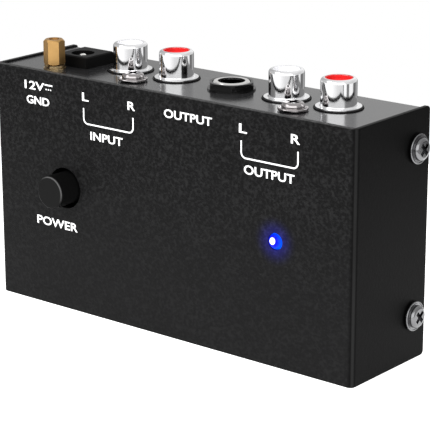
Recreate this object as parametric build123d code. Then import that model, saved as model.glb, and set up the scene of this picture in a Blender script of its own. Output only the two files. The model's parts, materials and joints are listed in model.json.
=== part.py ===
"""Phono preamplifier in a folded steel case, standing on its lower edge with the jacks on top.

Frame: X runs along the case, Y from the label wall to the back plate, Z up to the jack panel.
The origin is the middle of the footprint of the whole part, button and feet included.
A place "from the label" is a distance from the outer face of the label wall.  Millimetres.
"""

import os
from math import cos, pi

from build123d import *

# ---- Case ------------------------------------------------------------------------------------
case_width = 110.0  # outside the two side walls of the cover
case_height = 60.0  # cover, from its lower to its upper edge
case_depth = 29.0  # label face to back plate
sheet = 1.0  # steel of the cover and the chassis
fold_radius = 0.4  # inside radius of every fold
corner_round = 1.0  # free corners of the side walls
edge_round = 0.25  # coated outer edges of the cover
panel_drop = 0.45  # jack panel and base lie this far inside the cover's edges
cover_gap = 0.2  # between the cover and the chassis in it
lip_height = 6.0  # folded lips behind the label wall
flange_reach = 9.0  # side flanges of the back plate, along Y
flange_inset = 4.5  # side flanges stop this far from the base and the panel
relief_gap = 1.0  # slits beside the side flanges

# ---- Side screws, and the like screws that hold the double jacks -----------------------------
screw_radius = 1.45
screw_seat_radius = 2.9
screw_seat = 0.3
screw_collar_radius = 3.55
screw_collar = 0.5
screw_collar_round = 0.2
screw_groove_radius = 3.05  # inside of the groove in the collar
screw_groove_width = 0.2
screw_groove_depth = 0.15
screw_head_radius = 2.7
screw_head = 1.2
screw_head_round = 0.9
cross_length = 3.3
cross_width = 1.0
cross_depth = 1.0
thread_clearance = 0.05
screw_hole_clearance = 0.25
side_screw_length = 4.0
side_screw_inset = 10.0  # from the upper and lower edges
side_screw_rise = 0.9  # pair above the middle of the wall
side_screw_setback = 5.0  # from the back plate
side_screw_turn = 42.0  # slots of the cross from upright, degrees

# ---- Feet ------------------------------------------------------------------------------------
foot_radius = 4.5
foot_height = 2.5
foot_taper = 0.6
foot_inset = 10.0  # from the edges of the back plate

# ---- Circuit board ---------------------------------------------------------------------------
board_from_label = 22.4  # label face to the board's front face
board_thickness = 1.6
board_side_gap = 0.5  # board to the tips of the side screws
board_end_gap = 1.05  # board to the jack panel and to the base
standoff_radius = 2.75
standoff_inset = 3.6  # standoffs from the side edges of the board
standoff_low = 5.9  # lower pair from the lower edge of the board
standoff_high = 15.4  # upper pair from its upper edge, clear of the jack bodies
board_screw_end_gap = 0.8  # tip of the screw to the back plate
board_screw_head_radius = 2.6
board_screw_head = 1.5
board_screw_round = 0.6
board_cross_depth = 0.8
lead_clearance = 0.12
lead_tail = 0.9  # leads stand this far out behind the board

# ---- Power switch, its cap and the lamp ------------------------------------------------------
control_height = 30.4  # middle of the lamp above the lower edge
button_rise = 1.0  # middle of the button above that of the lamp
button_x = -32.2
button_radius = 4.1
button_proud = 5.5
button_run_out = 0.4  # left between the pressed button and the switch
button_round = 0.45
button_wall = 1.2
button_hole_radius = 5.15
button_travel = 2.8
switch_size = 8.4
switch_height = 9.0
switch_wall = 0.9
stem_size = 3.0
stem_reach = 8.0  # out of the switch body at rest
stem_boss_radius = 2.6
collar_size = 5.4
collar_thickness = 1.2
slide_clearance = 0.05
spring_wire = 0.15
spring_radius = 1.7
spring_turns = 5
spring_end_gap = 0.02
switch_round = 0.5
switch_pin = 0.5
switch_pin_inset = 1.0  # outer pins from the sides of the switch
lamp_x = 33.1
lamp_radius = 1.95
lamp_proud = 0.9
lamp_length = 5.6
lamp_rim = 0.45
lamp_rim_length = 1.0
lamp_hole_clearance = 0.12
lamp_lead = 0.5
lamp_lead_pitch = 2.54

# ---- Double phono jacks ----------------------------------------------------------------------
jack_pair_x = (-16.5, 31.55)  # middle of the input pair and of the output pair
jack_pitch = 14.8
jack_axis_rise = 6.7  # axis of the barrels above the board
shell_radius = 4.2
shell_wall = 0.4
skirt_step = 0.35  # barrel below its flange, narrower by this all round
shell_height = 7.0  # rim above the jack panel
shell_round = 0.85
mouth_radius = 3.25
flange_radius = 5.35
flange_thickness = 0.25
flange_fillet = 0.3  # barrel into flange
boss_radius = 5.75
boss_height = 0.25  # black rim above the jack panel
boss_clearance = 0.1
skirt_depth = 3.0  # shell below the jack panel
insert_drop = 0.9  # insulator below the rim
insert_lip = 0.25  # wall of the insulator that lines the mouth
insert_lip_drop = 0.15  # its edge below the rim
contact_drop = 0.25  # contact below the face of the insulator
contact_bore = 1.65
contact_wall = 0.3
contact_depth = 6.5
jack_block_margin = 6.6
jack_block_depth = 10.5
jack_block_front = 11.4  # front face of the block from the axis
moulding_round = 0.6  # upright edges of the moulded jack bodies
jack_screw_rise = 8.5  # screw from the axis, towards the label
jack_screw_offset = 0.9  # screw to the right of the middle of its pair
jack_screw_length = 7.0
tail_thickness = 0.5
tail_width = 1.2

# ---- 6.35 mm jack ----------------------------------------------------------------------------
phone_x = 8.35
phone_axis_rise = 7.3
phone_bore = 3.25
phone_thread_radius = 4.5
phone_thread_clearance = 0.05
phone_hole_clearance = 0.15
phone_washer_radius = 5.75
phone_washer = 0.4
phone_nut_across = 10.2
phone_nut = 1.5
phone_nut_turn = 10
phone_nut_chamfer = 0.6
phone_ring_proud = 0.15
phone_ring_chamfer = 0.35
phone_sleeve_depth = 3.5  # threaded sleeve below the jack panel
phone_body_width = 15.6
phone_body_depth = 29.5
phone_body_clearance = 0.35  # bore of the body over that of the sleeve
phone_body_front = 6.4
phone_floor = 1.5
phone_spring_width = 3.0
phone_spring = 0.4
phone_spring_stand = 1.6  # leaves from the edge of the bore
phone_spring_above = 2.0
phone_spring_below = 5.0
phone_dimple_radius = 1.1
phone_ring_level = 17.0  # dimple below the jack panel
phone_tip_level = 24.5
phone_slot_gap = 0.3

# ---- Power jack ------------------------------------------------------------------------------
power_jack_x = -38.0
power_jack_axis_rise = 8.65
power_jack_collar = 9.8  # along X
power_jack_reach = 10.2  # collar along Y
power_jack_front = 4.2  # collar from its axis towards the label
power_jack_proud = 2.8
power_jack_chamfer = 0.3
power_jack_block = 10.4
power_jack_depth = 12.5  # block below the jack panel
power_jack_bore = 2.9
power_jack_bore_depth = 9.5
power_jack_floor = 1.5
power_jack_pin = 1.0
power_jack_pin_base = 1.4
power_jack_pin_drop = 0.2  # pin below the mouth
power_jack_clearance = 0.2
power_jack_spring_width = 2.2
power_jack_spring = 0.4
power_jack_spring_gap = 0.3  # leaf from the edge of the bore
power_jack_spring_drop = 1.2  # top of the leaf below the jack panel
power_jack_spring_foot = 1.5  # tail of the leaf below the floor of the bore

# ---- Ground post -----------------------------------------------------------------------------
post_x = -40.0
post_from_label = 5.6
post_across = 4.6
post_height = 6.1
post_chamfer = 0.55
post_foot_chamfer = 0.2
stud_radius = 1.25
stud_drop = 0.3  # stud below the top of the post
stud_head_radius = 2.6
stud_head = 1.6
stud_head_round = 0.8
stud_tip_chamfer = 0.3
stud_clearance = 0.05
flat_washer_radius = 2.75
flat_washer = 0.3
lock_washer_radius = 2.55
lock_washer = 0.6
lock_washer_rise = 0.35
lock_washer_clearance = 0.2
lock_washer_share = 0.955  # of a full turn that the spring washer spans
lock_washer_turn = -75
post_turn = 39
lug_radius = 2.6
lug = 0.5
lug_barrel_radius = 1.1
lug_barrel_length = 3.0
lug_barrel_overlap = 1.0  # barrel reaches this far into the ring
lug_neck_width = 1.6
lug_head_clearance = 0.1
lug_crimp_depth = 1.6
lead_radius = 0.55
lead_crimp_clearance = 0.03
lead_reach = 2.2  # the ground lead runs this far past its lug before it turns
lead_corner_out = 6.2  # its corner beside the power jack, from the post
lead_corner_back = 6.75
lead_corner_drop = 4.95  # below the jack panel
lead_land_out = 4.5  # where it meets the board, from the post
lead_land_drop = 6.45
lead_approach = 4.0  # last corner in front of the board
lead_bends = (1.9, 8.0, 8.0)

# ---- Electronics -----------------------------------------------------------------------------
seat_gap = 0.2  # capacitors stand this far off the board
chip_places = ((-13.0, 36.0), (-13.0, 21.0))
chip_seat_gap = 0.6
chip_notch_radius = 1.0
chip_notch = 0.4
chip_leg = 0.3
chip_leg_width = 0.5
chip_shoulder_width = 1.2
chip_width = 6.4
chip_length = 9.4
chip_height = 3.3
chip_pitch = 2.54
chip_row = 7.62
small_can_places = ((-25.0, 37.5), (-25.0, 20.0), (-4.0, 37.5), (-4.0, 26.0), (22.0, 37.5), (22.0, 28.0))
small_can_radius = 3.15
small_can_height = 11.0
main_can_place = (-34.0, 14.0)
main_can_radius = 5.0
main_can_height = 16.0
can_round = 0.5
can_groove = 0.35
can_groove_rise = 1.6
can_groove_width = 0.6
can_lead_pitch = 2.5
film_places = ((-24.0, 8.0), (-24.0, 31.5), (-2.0, 13.0), (22.0, 16.0))
film_width = 7.2
film_thickness = 2.6
film_height = 6.5
film_round = 0.3
film_lead_pitch = 5.0
regulator_place = (-12.0, 7.5)
regulator_radius = 2.4
regulator_flat = 1.3  # flat face from the middle
regulator_height = 4.8
regulator_seat = 2.0  # body above the board, on its leads
regulator_round = 0.3
regulator_lead_pitch = 1.4
regulator_lead = 0.45
resistor_first = 30.0
resistor_spacing = 4.0
resistor_drop = 5.9  # upper row below the lamp
resistor_row_pitch = 9.0
resistor_radius = 1.15
resistor_length = 6.0
resistor_span = 7.6
resistor_rise = 1.3
resistor_round = 0.4
lead_wire = 0.3  # radius of a component lead

# ---- Places worked out from the sizes --------------------------------------------------------
depth_overall = button_proud + case_depth + foot_height
label_y = button_proud - depth_overall / 2
back_y = label_y + case_depth
half_width = case_width / 2
panel_top = case_height - panel_drop
panel_under = panel_top - sheet
chassis_half = half_width - sheet - cover_gap
lip_y = label_y + sheet + cover_gap
board_front = label_y + board_from_label
board_back = board_front + board_thickness
board_half = half_width - side_screw_length - board_side_gap
board_bottom = panel_drop + sheet + board_end_gap
board_top = panel_under - board_end_gap
standoff_columns = (standoff_inset - board_half, board_half - standoff_inset)
standoff_rows = (board_bottom + standoff_low, board_top - standoff_high)
tail_end = board_back + lead_tail
phono_y = board_front - jack_axis_rise
jack_screw_y = phono_y - jack_screw_rise
phone_y = board_front - phone_axis_rise
power_jack_y = board_front - power_jack_axis_rise
post_y = label_y + post_from_label
button_height = control_height + button_rise
side_screw_y = back_y - side_screw_setback
side_screw_rows = (side_screw_inset + side_screw_rise, case_height - side_screw_inset + side_screw_rise)
boss_top = panel_top + boss_height
rim_top = panel_top + shell_height
skirt_bottom = panel_under - skirt_depth
insert_top = rim_top - insert_drop
skirt_radius = shell_radius - skirt_step
step_top = boss_top + flange_thickness
contact_radius = contact_bore + contact_wall
contact_bottom = skirt_bottom - contact_depth

parts = {}
board_cuts = []


# ---- Helpers ---------------------------------------------------------------------------------
def span(middle, size):
    """The low and high end of a size about its middle."""
    return (middle - size / 2, middle + size / 2)


def block(x, y, z):
    """A box between a low and a high value on each axis."""
    size = [high - low for low, high in (x, y, z)]
    middle = [(low + high) / 2 for low, high in (x, y, z)]
    return Pos(*middle) * Box(*size)


def rod_x(x, y, z, radius):
    return Pos((x[0] + x[1]) / 2, y, z) * Rot(Y=90) * Cylinder(radius, x[1] - x[0])


def rod_y(x, y, z, radius):
    return Pos(x, (y[0] + y[1]) / 2, z) * Rot(X=90) * Cylinder(radius, y[1] - y[0])


def rod_z(x, y, z, radius):
    return Pos(x, y, (z[0] + z[1]) / 2) * Cylinder(radius, z[1] - z[0])


def hex_bar(x, y, z, across, turn):
    outline = RegularPolygon(across / 2, 6, major_radius=False)
    return Pos(x, y, z[0]) * Rot(Z=turn) * extrude(outline, z[1] - z[0])


def edges_at(shape, axis, group):
    """The round edges of a turned shape at one end of an axis."""
    return shape.edges().filter_by(GeomType.CIRCLE).group_by(axis)[group]


def upright_edge(shape, x, y):
    """The edge along Z nearest to a place in plan."""
    return shape.edges().filter_by(Axis.Z).sort_by_distance(Vector(x, y, shape.center().Z))[0]


def pierce(x, z, width, height=None):
    """A hole through the board that a lead or a tail of that size passes with its clearance."""
    through = (board_front - 1, board_back + 1)
    if height is None:
        board_cuts.append(rod_y(x, through, z, width / 2 + lead_clearance))
    else:
        gap = 2 * lead_clearance
        board_cuts.append(block(span(x, width + gap), through, span(z, height + gap)))


def pan_screw(length):
    """A pan head on a grooved collar, with a cross recess; seat at the origin, shank down -Z."""
    collar_top = screw_seat + screw_collar
    collar = Pos(0, 0, screw_seat + screw_collar / 2) * Cylinder(screw_collar_radius, screw_collar)
    collar = fillet(edges_at(collar, Axis.Z, -1), screw_collar_round)
    groove = Cylinder(screw_groove_radius + screw_groove_width, 2 * screw_groove_depth)
    groove -= Cylinder(screw_groove_radius, 1)
    collar -= Pos(0, 0, collar_top) * groove
    collar += Pos(0, 0, screw_seat / 2) * Cylinder(screw_seat_radius, screw_seat)
    head_top = collar_top + screw_head
    head = Pos(0, 0, head_top / 2) * Cylinder(screw_head_radius, head_top)
    head = fillet(edges_at(head, Axis.Z, -1), screw_head_round)
    shank = Pos(0, 0, -length / 2) * Cylinder(screw_radius, length)
    screw = collar + head + shank
    for length_x, length_y in ((cross_length, cross_width), (cross_width, cross_length)):
        screw -= block(span(0, length_x), span(0, length_y), (head_top - cross_depth, head_top + 1))
    return screw


# ---- Case ------------------------------------------------------------------------------------
def make_cover():
    """The label wall and the two side walls, folded from one sheet."""
    outer = block(span(0, case_width), (label_y, back_y), (0, case_height))
    outer = fillet(outer.edges().filter_by(Axis.Z).group_by(Axis.Y)[0], fold_radius + sheet)
    inner = block(span(0, case_width - 2 * sheet), (label_y + sheet, back_y + 1), (-1, case_height + 1))
    inner = fillet(inner.edges().filter_by(Axis.Z).group_by(Axis.Y)[0], fold_radius)
    cover = outer - inner
    cover = fillet(cover.edges().filter_by(Axis.X).group_by(Axis.Y)[-1], corner_round)
    cover = fillet(cover.edges().filter_by(Axis.X).group_by(Axis.Y)[0], edge_round)
    wall = (label_y - 1, label_y + sheet + 1)
    cover -= rod_y(button_x, wall, button_height, button_hole_radius)
    cover -= rod_y(lamp_x, wall, control_height, lamp_radius + lamp_hole_clearance)
    for row in side_screw_rows:
        cover -= rod_x(span(0, case_width + 2), side_screw_y, row, screw_radius + screw_hole_clearance)
    parts["cover"] = cover


def make_chassis():
    """Jack panel, back plate and base, folded from one sheet, with lips and side flanges."""
    width = span(0, 2 * chassis_half)
    outer = block(width, (lip_y, back_y), (panel_drop, panel_top))
    outer = fillet(outer.edges().filter_by(Axis.X), fold_radius + sheet)
    inner_x = span(0, 2 * chassis_half + 2)
    inner = block(inner_x, (lip_y + sheet, back_y - sheet), (panel_drop + sheet, panel_under))
    inner = fillet(inner.edges().filter_by(Axis.X), fold_radius)
    chassis = outer - inner
    open_front = (panel_drop + lip_height, panel_top - lip_height)
    chassis -= block(inner_x, (lip_y - 1, lip_y + sheet + 0.5), open_front)

    flange_z = (panel_drop + flange_inset, panel_top - flange_inset)
    fold = sheet + fold_radius
    for side in (-1, 1):
        edge = side * chassis_half
        corner_x = sorted((edge, edge - side * 2 * fold))
        flange = block(corner_x, (back_y - flange_reach, back_y), flange_z)
        flange = fillet(upright_edge(flange, edge, back_y), fold)
        hollow_x = sorted((edge - side * sheet, edge - side * 3 * fold))
        hollow = block(hollow_x, (back_y - 2 * flange_reach, back_y - sheet), flange_z)
        flange -= fillet(upright_edge(hollow, edge - side * sheet, back_y - sheet), fold_radius)
        flange = fillet(flange.edges().filter_by(Axis.X).group_by(Axis.Y)[0], corner_round)
        slit_z = (flange_z[0] - relief_gap, flange_z[1] + relief_gap)
        slit_x = sorted((edge + side, edge - side * 2 * fold))
        chassis -= block(slit_x, (back_y - sheet, back_y + 1), slit_z)
        chassis += flange
        for row in side_screw_rows:
            hole_x = sorted((edge + side, edge - side * (sheet + 1)))
            chassis -= rod_x(hole_x, side_screw_y, row, screw_radius + thread_clearance)

    through = (panel_under - 1, panel_top + 1)
    chassis -= rod_z(post_x, post_y, through, stud_radius + stud_clearance)
    window_x = span(power_jack_x, power_jack_collar + 2 * power_jack_clearance)
    window_low = power_jack_y - power_jack_front - power_jack_clearance
    window_y = (window_low, window_low + power_jack_reach + 2 * power_jack_clearance)
    chassis -= block(window_x, window_y, through)
    chassis -= rod_z(phone_x, phone_y, through, phone_thread_radius + phone_hole_clearance)
    for pair_x in jack_pair_x:
        screw_x = pair_x + jack_screw_offset
        chassis -= rod_z(screw_x, jack_screw_y, through, screw_radius + screw_hole_clearance)
        for side in (-1, 1):
            centre = pair_x + side * jack_pitch / 2
            chassis -= rod_z(centre, phono_y, through, boss_radius + boss_clearance)
    parts["chassis"] = chassis


def make_side_screws():
    screws = []
    for side in (-1, 1):
        for row in side_screw_rows:
            place = Pos(side * half_width, side_screw_y, row)
            screws.append(place * Rot(Y=90 * side) * Rot(Z=side_screw_turn) * pan_screw(side_screw_length))
    parts["side_screws"] = Compound(screws)


def make_feet():
    feet = []
    for x in (foot_inset - half_width, half_width - foot_inset):
        for z in (foot_inset, case_height - foot_inset):
            foot = Cone(foot_radius, foot_radius - foot_taper, foot_height)
            foot = fillet(edges_at(foot, Axis.Z, -1), foot_taper)
            feet.append(Pos(x, back_y + foot_height / 2, z) * Rot(X=-90) * foot)
    parts["feet"] = Compound(feet)


# ---- Board -----------------------------------------------------------------------------------
def make_board():
    """The board, drilled for every lead, its standoffs and its screws."""
    board = block(span(0, 2 * board_half), (board_front, board_back), (board_bottom, board_top))
    board = fillet(board.edges().filter_by(Axis.Y), corner_round)
    standoffs = []
    screws = []
    for x in standoff_columns:
        for z in standoff_rows:
            board -= rod_y(x, (board_front - 1, board_back + 1), z, screw_radius + screw_hole_clearance)
            pillar_y = (board_back, back_y - sheet)
            pillar = rod_y(x, pillar_y, z, standoff_radius)
            standoffs.append(pillar - rod_y(x, pillar_y, z, screw_radius + thread_clearance))
            head_y = (board_front - board_screw_head, board_front)
            head = rod_y(x, head_y, z, board_screw_head_radius)
            head = fillet(edges_at(head, Axis.Y, 0), board_screw_round)
            slot_y = (head_y[0] - 1, head_y[0] + board_cross_depth)
            head -= block(span(x, cross_length), slot_y, span(z, cross_width))
            head -= block(span(x, cross_width), slot_y, span(z, cross_length))
            shank_y = (board_front, back_y - sheet - board_screw_end_gap)
            screws.append(head + rod_y(x, shank_y, z, screw_radius))
    board -= Compound(board_cuts)
    parts["circuit_board"] = board
    parts["board_standoffs"] = Compound(standoffs)
    parts["board_screws"] = Compound(screws)


# ---- Double phono jacks ----------------------------------------------------------------------
def make_shell(x):
    """A drawn barrel with a rounded shoulder, a flange on the boss and one tail to the board."""
    barrel = rod_z(x, phono_y, (boss_top, rim_top), shell_radius)
    barrel = fillet(edges_at(barrel, Axis.Z, -1), shell_round)
    barrel += rod_z(x, phono_y, (boss_top, step_top), flange_radius)
    root = barrel.edges().filter_by(GeomType.CIRCLE).group_by(Axis.Z)[1]
    barrel = fillet(root.group_by(SortBy.RADIUS)[0], flange_fillet)
    barrel += rod_z(x, phono_y, (skirt_bottom, boss_top), skirt_radius)
    hollow = rod_z(x, phono_y, (step_top, rim_top - shell_wall), shell_radius - shell_wall)
    hollow = fillet(edges_at(hollow, Axis.Z, -1), shell_round - shell_wall)
    barrel -= hollow
    barrel -= rod_z(x, phono_y, (skirt_bottom - 1, step_top + 1), skirt_radius - shell_wall)
    barrel -= rod_z(x, phono_y, (rim_top - shell_wall - 1, rim_top + 1), mouth_radius)
    tail_y = (phono_y + skirt_radius - shell_wall, tail_end)
    tail_z = (skirt_bottom, skirt_bottom + tail_thickness)
    pierce(x, sum(tail_z) / 2, tail_width, tail_thickness)
    return barrel + block(span(x, tail_width), tail_y, tail_z)


def make_insert(x):
    """The coloured insulator: a dished face with the hole for the contact, and a lip that lines the mouth."""
    seat = shell_radius - shell_wall - slide_clearance
    insert = rod_z(x, phono_y, (step_top, insert_top), seat)
    insert += rod_z(x, phono_y, (skirt_bottom, step_top), seat - skirt_step)
    dish = Pos(x, phono_y, insert_top) * Cone(contact_radius, mouth_radius, 2 * contact_drop)
    insert -= dish
    insert -= rod_z(x, phono_y, (skirt_bottom - 1, insert_top + 1), contact_radius)
    lip_z = (insert_top - contact_drop, rim_top - insert_lip_drop)
    lip_radius = mouth_radius - slide_clearance
    lip = rod_z(x, phono_y, lip_z, lip_radius) - rod_z(x, phono_y, lip_z, lip_radius - insert_lip)
    return insert + lip


def make_contact(x):
    """The socket for the plug's pin, and its tail to the board."""
    top = insert_top - contact_drop
    socket = rod_z(x, phono_y, (contact_bottom, top), contact_radius)
    socket -= rod_z(x, phono_y, (contact_bottom + tail_thickness, top + 1), contact_bore)
    tail_z = (contact_bottom, contact_bottom + tail_thickness)
    pierce(x, sum(tail_z) / 2, tail_width, tail_thickness)
    return socket + block(span(x, tail_width), (phono_y + contact_bore, tail_end), tail_z)


def make_jack_pair(name, pair_x):
    """One moulded block with two jacks, white on the left and red on the right."""
    half_block = jack_pitch / 2 + jack_block_margin
    block_z = (panel_under - jack_block_depth, panel_under)
    housing = block(span(pair_x, 2 * half_block), (phono_y - jack_block_front, board_front), block_z)
    housing = fillet(housing.edges().filter_by(Axis.Z).group_by(Axis.Y)[0], moulding_round)
    for side, letter in ((-1, "left"), (1, "right")):
        x = pair_x + side * jack_pitch / 2
        housing += rod_z(x, phono_y, (panel_under, boss_top), boss_radius)
        housing -= rod_z(x, phono_y, (skirt_bottom, boss_top + 1), skirt_radius + slide_clearance)
        bore_z = (contact_bottom - slide_clearance, skirt_bottom + 1)
        housing -= rod_z(x, phono_y, bore_z, contact_radius + slide_clearance)
        channel = span(x, tail_width + 2 * lead_clearance)
        channel_y = (phono_y, board_front + 1)
        for level in (skirt_bottom, contact_bottom):
            channel_z = (level - lead_clearance, level + tail_thickness + lead_clearance)
            housing -= block(channel, channel_y, channel_z)
        parts[f"{name}_{letter}_shell"] = make_shell(x)
        parts[f"{name}_{letter}_insulator"] = make_insert(x)
        parts[f"{name}_{letter}_contact"] = make_contact(x)
    hole_z = (panel_under - jack_screw_length, panel_under + 1)
    hole_x = pair_x + jack_screw_offset
    housing -= rod_z(hole_x, jack_screw_y, hole_z, screw_radius + thread_clearance)
    parts[f"{name}_jack_housing"] = housing


def make_jacks():
    for name, pair_x in zip(("input", "output"), jack_pair_x):
        make_jack_pair(name, pair_x)
    screw_row = [Pos(x + jack_screw_offset, jack_screw_y, panel_top) for x in jack_pair_x]
    screws = [place * pan_screw(jack_screw_length) for place in screw_row]
    parts["jack_screws"] = Compound(screws)


# ---- 6.35 mm jack ----------------------------------------------------------------------------
def make_phone_jack():
    """Moulded body, threaded sleeve, washer, nut, and two leaf springs for tip and ring."""
    sleeve_bottom = panel_under - phone_sleeve_depth
    washer_top = panel_top + phone_washer
    nut_top = washer_top + phone_nut
    ring_top = nut_top + phone_ring_proud
    body_bottom = panel_under - phone_body_depth
    body_y = (phone_y - phone_body_front, board_front)

    body = block(span(phone_x, phone_body_width), body_y, (body_bottom, panel_under))
    body = fillet(body.edges().filter_by(Axis.Z), moulding_round)
    body_bore = phone_bore + phone_body_clearance
    body -= rod_z(phone_x, phone_y, (body_bottom + phone_floor, panel_under + 1), body_bore)
    seat_radius = phone_thread_radius + phone_thread_clearance
    body -= rod_z(phone_x, phone_y, (sleeve_bottom, panel_under + 1), seat_radius)

    sleeve = rod_z(phone_x, phone_y, (sleeve_bottom, ring_top), phone_thread_radius)
    sleeve = chamfer(edges_at(sleeve, Axis.Z, -1), phone_ring_chamfer)
    sleeve -= rod_z(phone_x, phone_y, (sleeve_bottom - 1, ring_top + 1), phone_bore)
    sleeve_tail_z = (sleeve_bottom, sleeve_bottom + tail_thickness)
    sleeve_tail_y = (phone_y + phone_bore, tail_end)
    sleeve += block(span(phone_x, tail_width), sleeve_tail_y, sleeve_tail_z)
    pierce(phone_x, sum(sleeve_tail_z) / 2, tail_width, tail_thickness)
    tail_room = span(phone_x, tail_width + 2 * lead_clearance)
    body -= block(tail_room, (phone_y, board_front + 1), (sleeve_bottom, panel_under + 1))
    sleeve = sleeve.solid()

    springs = {}
    for side, level, name in ((-1, phone_ring_level, "ring"), (1, phone_tip_level, "tip")):
        # the leaf stands in a slot in the side of the body, its dimple at the edge of the bore
        leaf_z = (panel_under - level - phone_spring_below, panel_under - level + phone_spring_above)
        leaf_in = phone_x + side * (phone_bore + phone_spring_stand)
        leaf_x = sorted((leaf_in, leaf_in + side * phone_spring))
        leaf = block(leaf_x, span(phone_y, phone_spring_width), leaf_z)
        dimple_x = sorted((phone_x + side * body_bore, leaf_in))
        leaf += rod_x(dimple_x, phone_y, panel_under - level, phone_dimple_radius)
        tail_z = (leaf_z[0], leaf_z[0] + 2 * tail_thickness)
        leaf += block(leaf_x, (phone_y, tail_end), tail_z)
        pierce(sum(leaf_x) / 2, sum(tail_z) / 2, phone_spring, 2 * tail_thickness)
        springs[name] = leaf
        outer_x = phone_x + side * (phone_body_width / 2 + 1)
        slot_x = sorted((leaf_in - side * phone_slot_gap, outer_x))
        slot_y = span(phone_y, phone_spring_width + 2 * phone_slot_gap)
        slot_z = (leaf_z[0] - phone_slot_gap, leaf_z[1] + phone_slot_gap)
        body -= block(slot_x, slot_y, slot_z)
        window = phone_dimple_radius + phone_slot_gap
        body -= rod_x(sorted((phone_x, leaf_in)), phone_y, panel_under - level, window)
        body -= block(slot_x, (phone_y, board_front + 1), (slot_z[0], tail_z[1] + phone_slot_gap))

    washer = rod_z(phone_x, phone_y, (panel_top, washer_top), phone_washer_radius)
    washer -= rod_z(phone_x, phone_y, (panel_top - 1, washer_top + 1), seat_radius)
    nut = hex_bar(phone_x, phone_y, (washer_top, nut_top), phone_nut_across, phone_nut_turn)
    round_off = rod_z(phone_x, phone_y, (washer_top, nut_top), phone_nut_across / 2 / cos(pi / 6))
    nut &= chamfer(edges_at(round_off, Axis.Z, -1), phone_nut_chamfer)
    nut -= rod_z(phone_x, phone_y, (washer_top - 1, nut_top + 1), seat_radius)

    parts["phone_jack_body"] = body
    parts["phone_jack_sleeve"] = sleeve
    parts["phone_jack_washer"] = washer
    parts["phone_jack_nut"] = nut
    parts["phone_jack_tip_spring"] = springs["tip"]
    parts["phone_jack_ring_spring"] = springs["ring"]


# ---- Power jack ------------------------------------------------------------------------------
def make_power_jack():
    """Square moulded socket for a barrel plug: body, centre pin and side spring."""
    mouth = panel_top + power_jack_proud
    block_bottom = panel_under - power_jack_depth
    bore_bottom = mouth - power_jack_bore_depth
    collar_low = power_jack_y - power_jack_front
    collar_y = (collar_low, collar_low + power_jack_reach)
    body = block(span(power_jack_x, power_jack_collar), collar_y, (panel_under, mouth))
    body = chamfer(body.faces().sort_by(Axis.Z)[-1].edges(), power_jack_chamfer)
    block_y = (power_jack_y - power_jack_block / 2, board_front)
    body += block(span(power_jack_x, power_jack_block), block_y, (block_bottom, panel_under))
    body -= rod_z(power_jack_x, power_jack_y, (bore_bottom, mouth + 1), power_jack_bore)

    foot_z = (block_bottom + power_jack_floor, block_bottom + power_jack_floor + tail_thickness)
    pin_top = mouth - power_jack_pin_drop
    pin = rod_z(power_jack_x, power_jack_y, (foot_z[0], pin_top), power_jack_pin)
    pin = fillet(edges_at(pin, Axis.Z, -1), power_jack_pin * 0.8)
    pin += rod_z(power_jack_x, power_jack_y, (foot_z[0], bore_bottom), power_jack_pin_base)
    pin += block(span(power_jack_x, tail_width), (power_jack_y, tail_end), foot_z)
    pierce(power_jack_x, sum(foot_z) / 2, tail_width, tail_thickness)
    base_room = power_jack_pin_base + slide_clearance
    body -= rod_z(power_jack_x, power_jack_y, (foot_z[0], mouth), base_room)
    room = span(power_jack_x, tail_width + 2 * lead_clearance)
    room_z = (foot_z[0] - lead_clearance, foot_z[1] + lead_clearance)
    body -= block(room, (power_jack_y, board_front + 1), room_z)

    # the side spring lies in a slot behind the bore and touches the plug through its window
    spring_y = power_jack_y + power_jack_bore + power_jack_spring_gap
    spring_z = (bore_bottom - power_jack_spring_foot, panel_under - power_jack_spring_drop)
    spring_x = span(power_jack_x, power_jack_spring_width)
    leaf = block(spring_x, (spring_y, spring_y + power_jack_spring), spring_z)
    leaf_tail_z = (spring_z[0], spring_z[0] + tail_thickness)
    leaf += block(spring_x, (spring_y, tail_end), leaf_tail_z)
    pierce(power_jack_x, sum(leaf_tail_z) / 2, power_jack_spring_width, tail_thickness)
    slot_x = span(power_jack_x, power_jack_spring_width + 2 * lead_clearance)
    slot_z = (spring_z[0] - lead_clearance, spring_z[1] + power_jack_spring_gap)
    body -= block(slot_x, (power_jack_y + power_jack_pin_base, board_front + 1), slot_z)

    parts["power_jack_body"] = body
    parts["power_jack_pin"] = pin
    parts["power_jack_spring"] = leaf


# ---- Ground post -----------------------------------------------------------------------------
def make_lock_washer(bottom):
    """One turn of square spring wire whose ends stand a little apart."""
    inner_radius = stud_radius + lock_washer_clearance
    middle = (lock_washer_radius + inner_radius) / 2
    width = lock_washer_radius - inner_radius
    rise = lock_washer_rise * lock_washer_share
    path = Helix(pitch=lock_washer_rise, height=rise, radius=middle)
    profile = Plane(origin=path @ 0, x_dir=(1, 0, 0), z_dir=path % 0) * Rectangle(width, lock_washer)
    ring = sweep(profile, path=path, is_frenet=True)
    low = ring.bounding_box().min.Z
    return Pos(post_x, post_y, bottom - low) * Rot(Z=lock_washer_turn) * ring


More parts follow.
